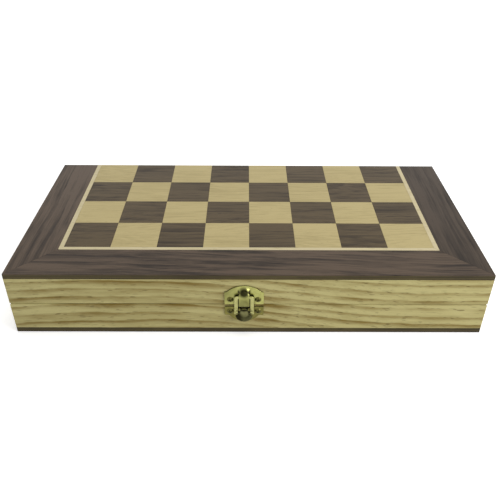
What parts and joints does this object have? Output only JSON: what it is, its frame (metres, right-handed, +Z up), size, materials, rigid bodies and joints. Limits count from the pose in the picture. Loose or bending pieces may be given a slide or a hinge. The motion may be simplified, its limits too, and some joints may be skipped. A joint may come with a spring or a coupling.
{
  "type": "magnetic chess set",
  "caption": "Folding wooden chess case with a steel-backed board on its outer faces, magnetic men in fitted trays inside and a brass toggle latch in front.",
  "frame": {"origin": "middle of the case's underside, in the plane the closed case rests on", "axes": "+X along the front to the right, +Y from the latch side to the hinge side, +Z up"},
  "size_m": [0.3, 0.1568, 0.046],
  "materials": {
    "pale_wood": "satin lacquer",
    "core_wood": "raw edge, stained",
    "dark_veneer": "satin lacquer",
    "light_veneer": "satin lacquer",
    "border_veneer": "satin lacquer",
    "inlay_veneer": "satin lacquer",
    "brass": "polished plating",
    "steel_sheet": "plain mill sheet",
    "magnet": "nickel-plated magnet",
    "insert_foam": "flocked foam",
    "light_men": "satin lacquer",
    "dark_men": "satin lacquer"
  },
  "bodies": {
    "base": {"base_front_wall": "pale_wood", "base_rear_wall": "pale_wood", "base_left_wall": "pale_wood", "base_right_wall": "pale_wood", "base_panel_core": "core_wood", "base_steel_sheet": "steel_sheet", "base_dark_squares": "dark_veneer", "base_light_squares": "light_veneer", "base_inlay_line": "inlay_veneer", "base_border_front": "border_veneer", "base_border_left": "border_veneer", "base_border_right": "border_veneer", "base_insert": "insert_foam", "base_hinge_leaves": "brass", "base_hinge_screws": "brass", "light_pawns": "light_men", "light_rooks": "light_men", "light_knights": "light_men", "light_bishops": "light_men", "light_queen": "light_men", "light_king": "light_men", "light_men_magnets": "magnet", "hinge_pins": "brass", "latch_base_plate": "brass", "latch_base_screws": "brass", "lever_pin": "brass"},
    "lid": {"lid_front_wall": "pale_wood", "lid_rear_wall": "pale_wood", "lid_left_wall": "pale_wood", "lid_right_wall": "pale_wood", "lid_panel_core": "core_wood", "lid_steel_sheet": "steel_sheet", "lid_dark_squares": "dark_veneer", "lid_light_squares": "light_veneer", "lid_inlay_line": "inlay_veneer", "lid_border_front": "border_veneer", "lid_border_left": "border_veneer", "lid_border_right": "border_veneer", "lid_insert": "insert_foam", "lid_hinge_leaves": "brass", "lid_hinge_screws": "brass", "dark_pawns": "dark_men", "dark_rooks": "dark_men", "dark_knights": "dark_men", "dark_bishops": "dark_men", "dark_queen": "dark_men", "dark_king": "dark_men", "dark_men_magnets": "magnet", "strike_plate": "brass", "strike_plate_screws": "brass"},
    "latch_lever": {"latch_lever": "brass"},
    "latch_loop": {"latch_loop": "brass", "loop_pin": "brass"}
  },
  "joints": [
    {"name": "lid_hinge", "type": "hinge", "parent": "base", "child": "lid", "pos_m": [0, 0.0751, 0.023], "axis": [-1, 0, 0], "range_deg": [0, 180]},
    {"name": "lever_pivot", "type": "hinge", "parent": "base", "child": "latch_lever", "pos_m": [-0.0032, -0.0776, 0.0212], "axis": [-1, 0, 0], "range_deg": [0, 90]},
    {"name": "loop_pivot", "type": "hinge", "parent": "latch_lever", "child": "latch_loop", "pos_m": [-0.0032, -0.0772, 0.0182], "axis": [-1, 0, 0], "range_deg": [-75, 0]}
  ],
  "couplings": [
    {"joint": "loop_pivot", "follows": "lever_pivot", "ratio": -0.8}
  ]
}
